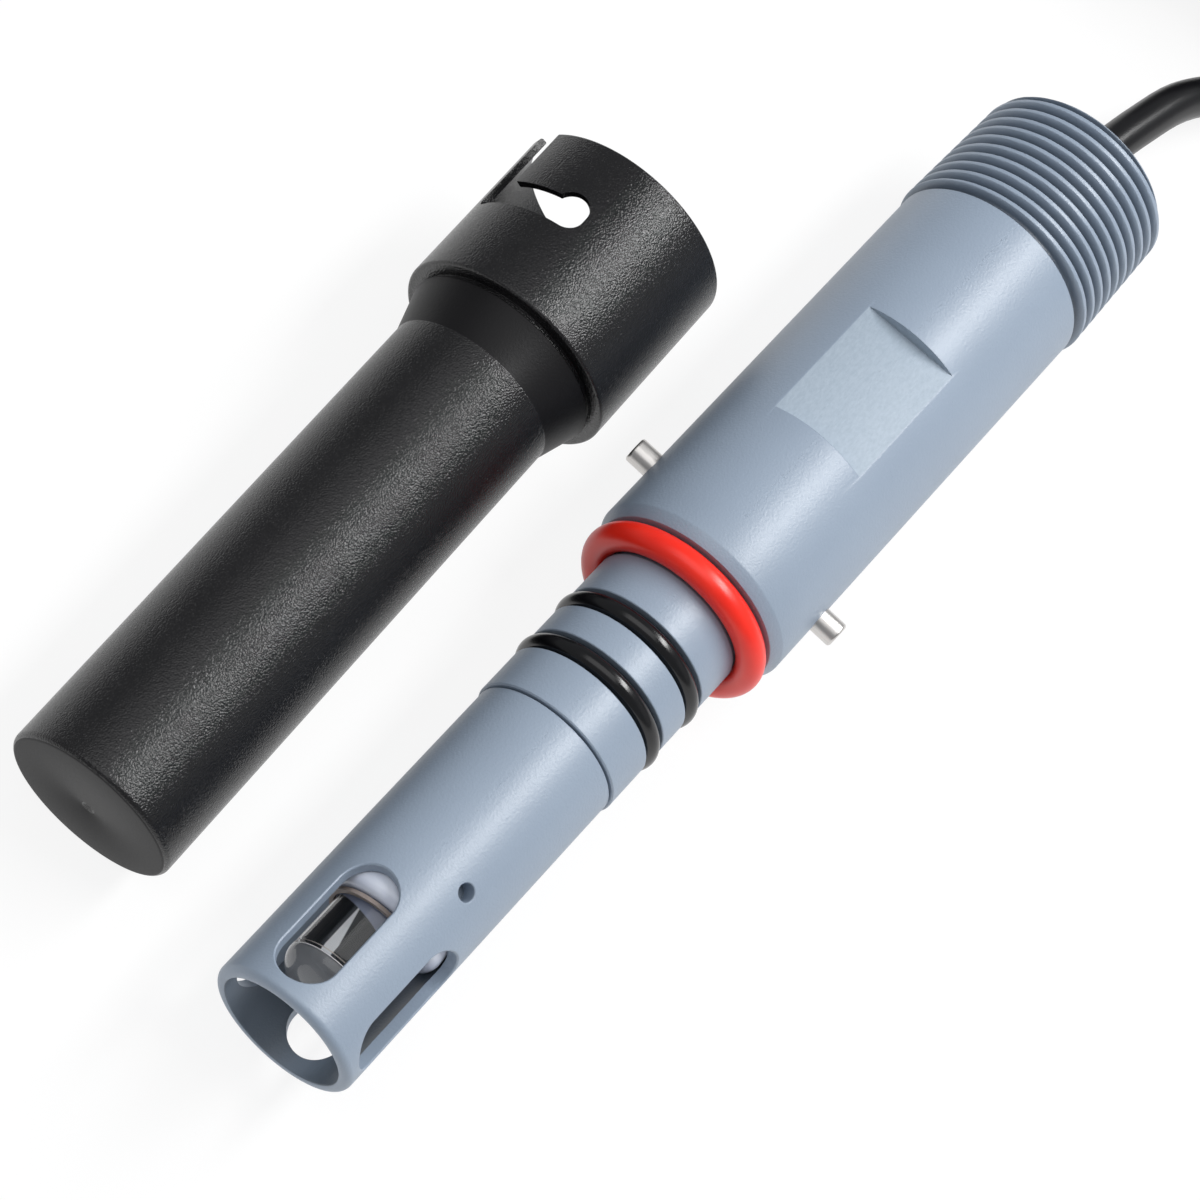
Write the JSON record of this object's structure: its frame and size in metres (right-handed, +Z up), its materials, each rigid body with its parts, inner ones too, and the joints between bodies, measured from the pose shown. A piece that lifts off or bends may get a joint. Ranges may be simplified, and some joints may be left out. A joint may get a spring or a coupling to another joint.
{
  "type": "ph electrode",
  "caption": "Submersible quick-release pH electrode with a slotted guard, seal rings, bayonet pins, a taper-thread body, a fixed cable and a loose protective cap.",
  "frame": {"origin": "on the bench, under the middle of the electrode's length and midway across the electrode and the cap lying beside it", "axes": "+X along the electrode from its sensing end to its cable, +Y toward the cap, +Z up, square to the upper wrench flat"},
  "size_m": [0.3685, 0.1067, 0.0369],
  "materials": {
    "body_polymer": "satin machined blue-grey polymer",
    "cap_polymer": "satin moulded black",
    "seal_rubber": "satin",
    "face_seal_silicone": "smooth red",
    "pin_steel": "polished stainless steel",
    "electrode_glass": "clear polished",
    "junction_polymer": "glossy white",
    "glass_sealant": "amber sealant",
    "stopper_rubber": "matte",
    "silver_wire": "drawn silver",
    "resin": "cast black resin",
    "cable_sheath": "satin black sheath",
    "strap_nylon": "woven black",
    "signal_insulation": "natural white",
    "shield_insulation": "black",
    "tinned_copper": "tinned"
  },
  "bodies": {
    "root": {"housing": "body_polymer", "guard": "body_polymer", "o_ring_front": "seal_rubber", "o_ring_rear": "seal_rubber", "face_seal": "face_seal_silicone", "bayonet_pin_left": "pin_steel", "bayonet_pin_right": "pin_steel", "glass_electrode": "electrode_glass", "junction": "junction_polymer", "glass_seal": "glass_sealant", "glass_stopper": "stopper_rubber", "measuring_element": "silver_wire", "reference_element": "silver_wire", "bulkhead": "resin", "potting": "resin", "protective_cap": "cap_polymer", "cable": "cable_sheath", "cable_coil": "cable_sheath", "cable_tail": "cable_sheath", "cable_tie": "strap_nylon", "cable_end_boot": "cable_sheath", "signal_lead": "signal_insulation", "shield_lead": "shield_insulation", "signal_terminal": "tinned_copper", "shield_terminal": "tinned_copper"}
  },
  "joints": []
}
